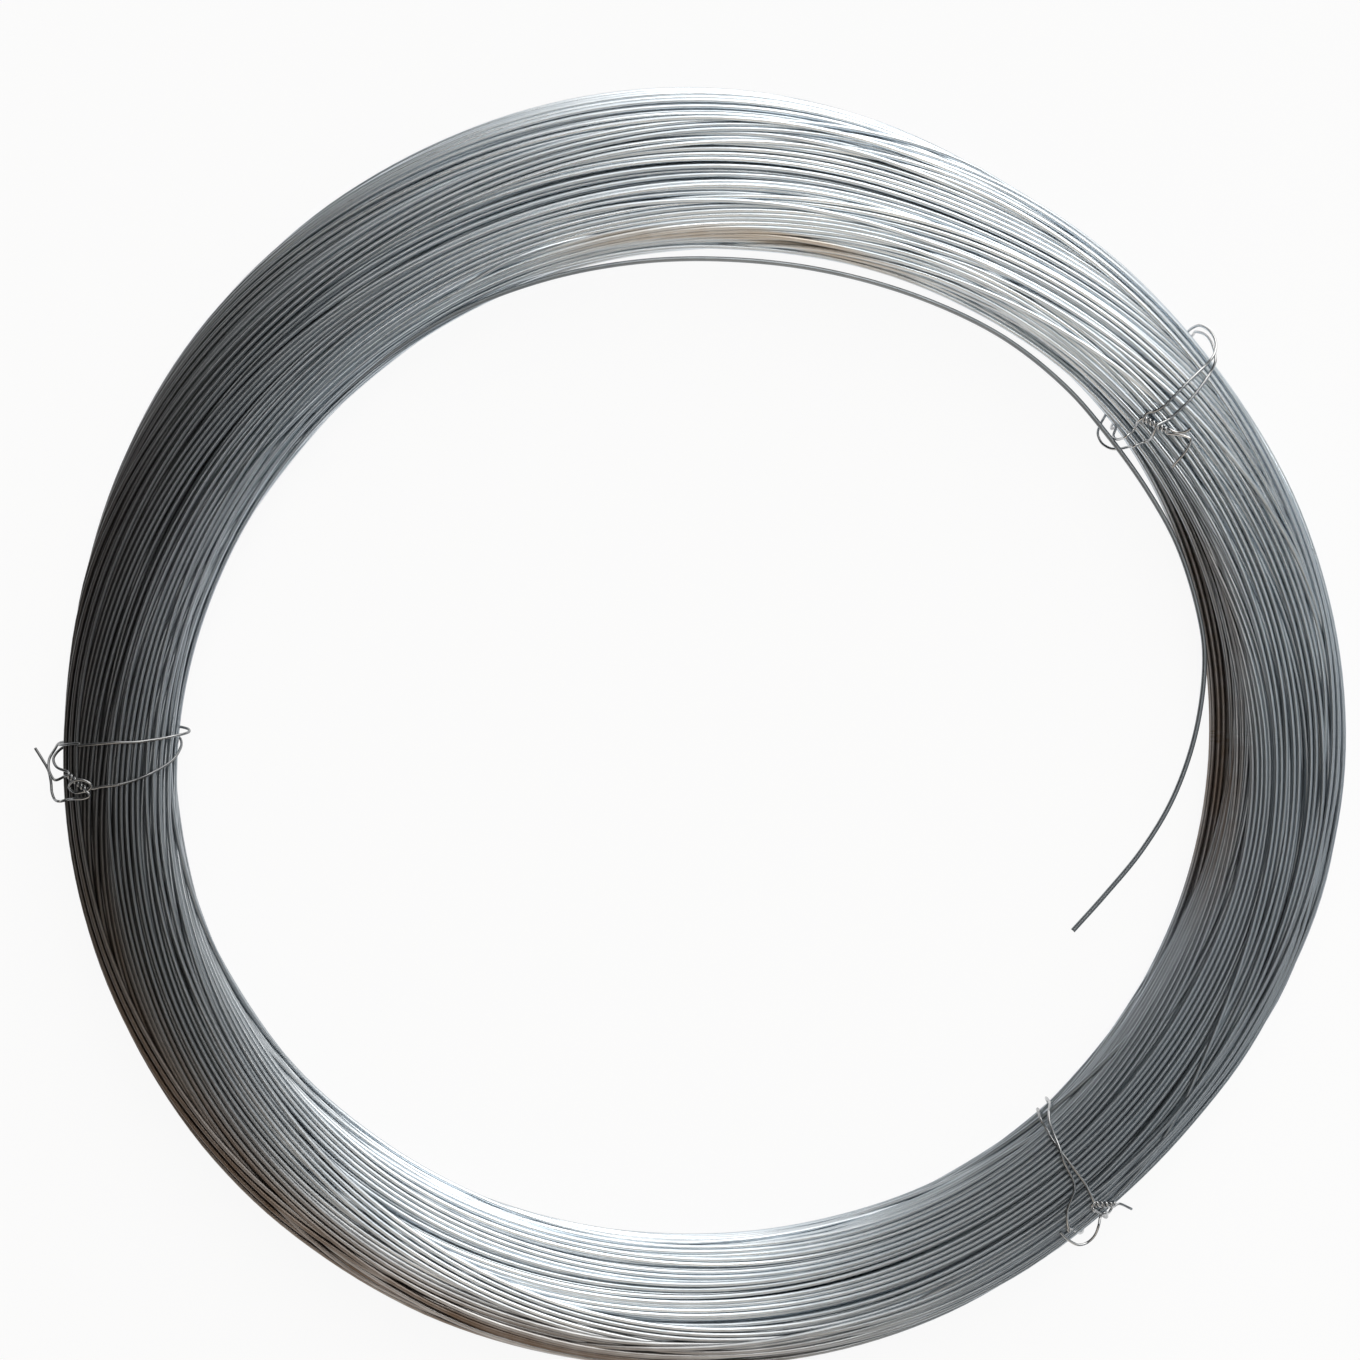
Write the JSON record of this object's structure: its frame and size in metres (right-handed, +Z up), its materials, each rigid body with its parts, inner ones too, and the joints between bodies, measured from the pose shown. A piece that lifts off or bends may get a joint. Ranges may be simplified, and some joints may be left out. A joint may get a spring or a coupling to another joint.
{
  "type": "coil of wire",
  "caption": "Flat-lying ring of wound steel wire with an open eye, one free end across it, and tie wires round the bundle.",
  "frame": {"origin": "on the axis of the coil's rim, at the height of the floor that it lies on", "axes": "+Z up along the coil's axis; +Y towards the top of the picture, +X to its right"},
  "size_m": [0.6505, 0.64, 0.0484],
  "materials": {
    "galvanised_wire": "drawn and zinc coated, bright with grey mottling",
    "tie_wire": "dull soft steel wire, twisted by hand"
  },
  "bodies": {
    "root": {"wire_coil": "galvanised_wire", "tie_wire_left": "tie_wire", "tie_wire_upper_right": "tie_wire", "tie_wire_lower_right": "tie_wire"}
  },
  "joints": []
}
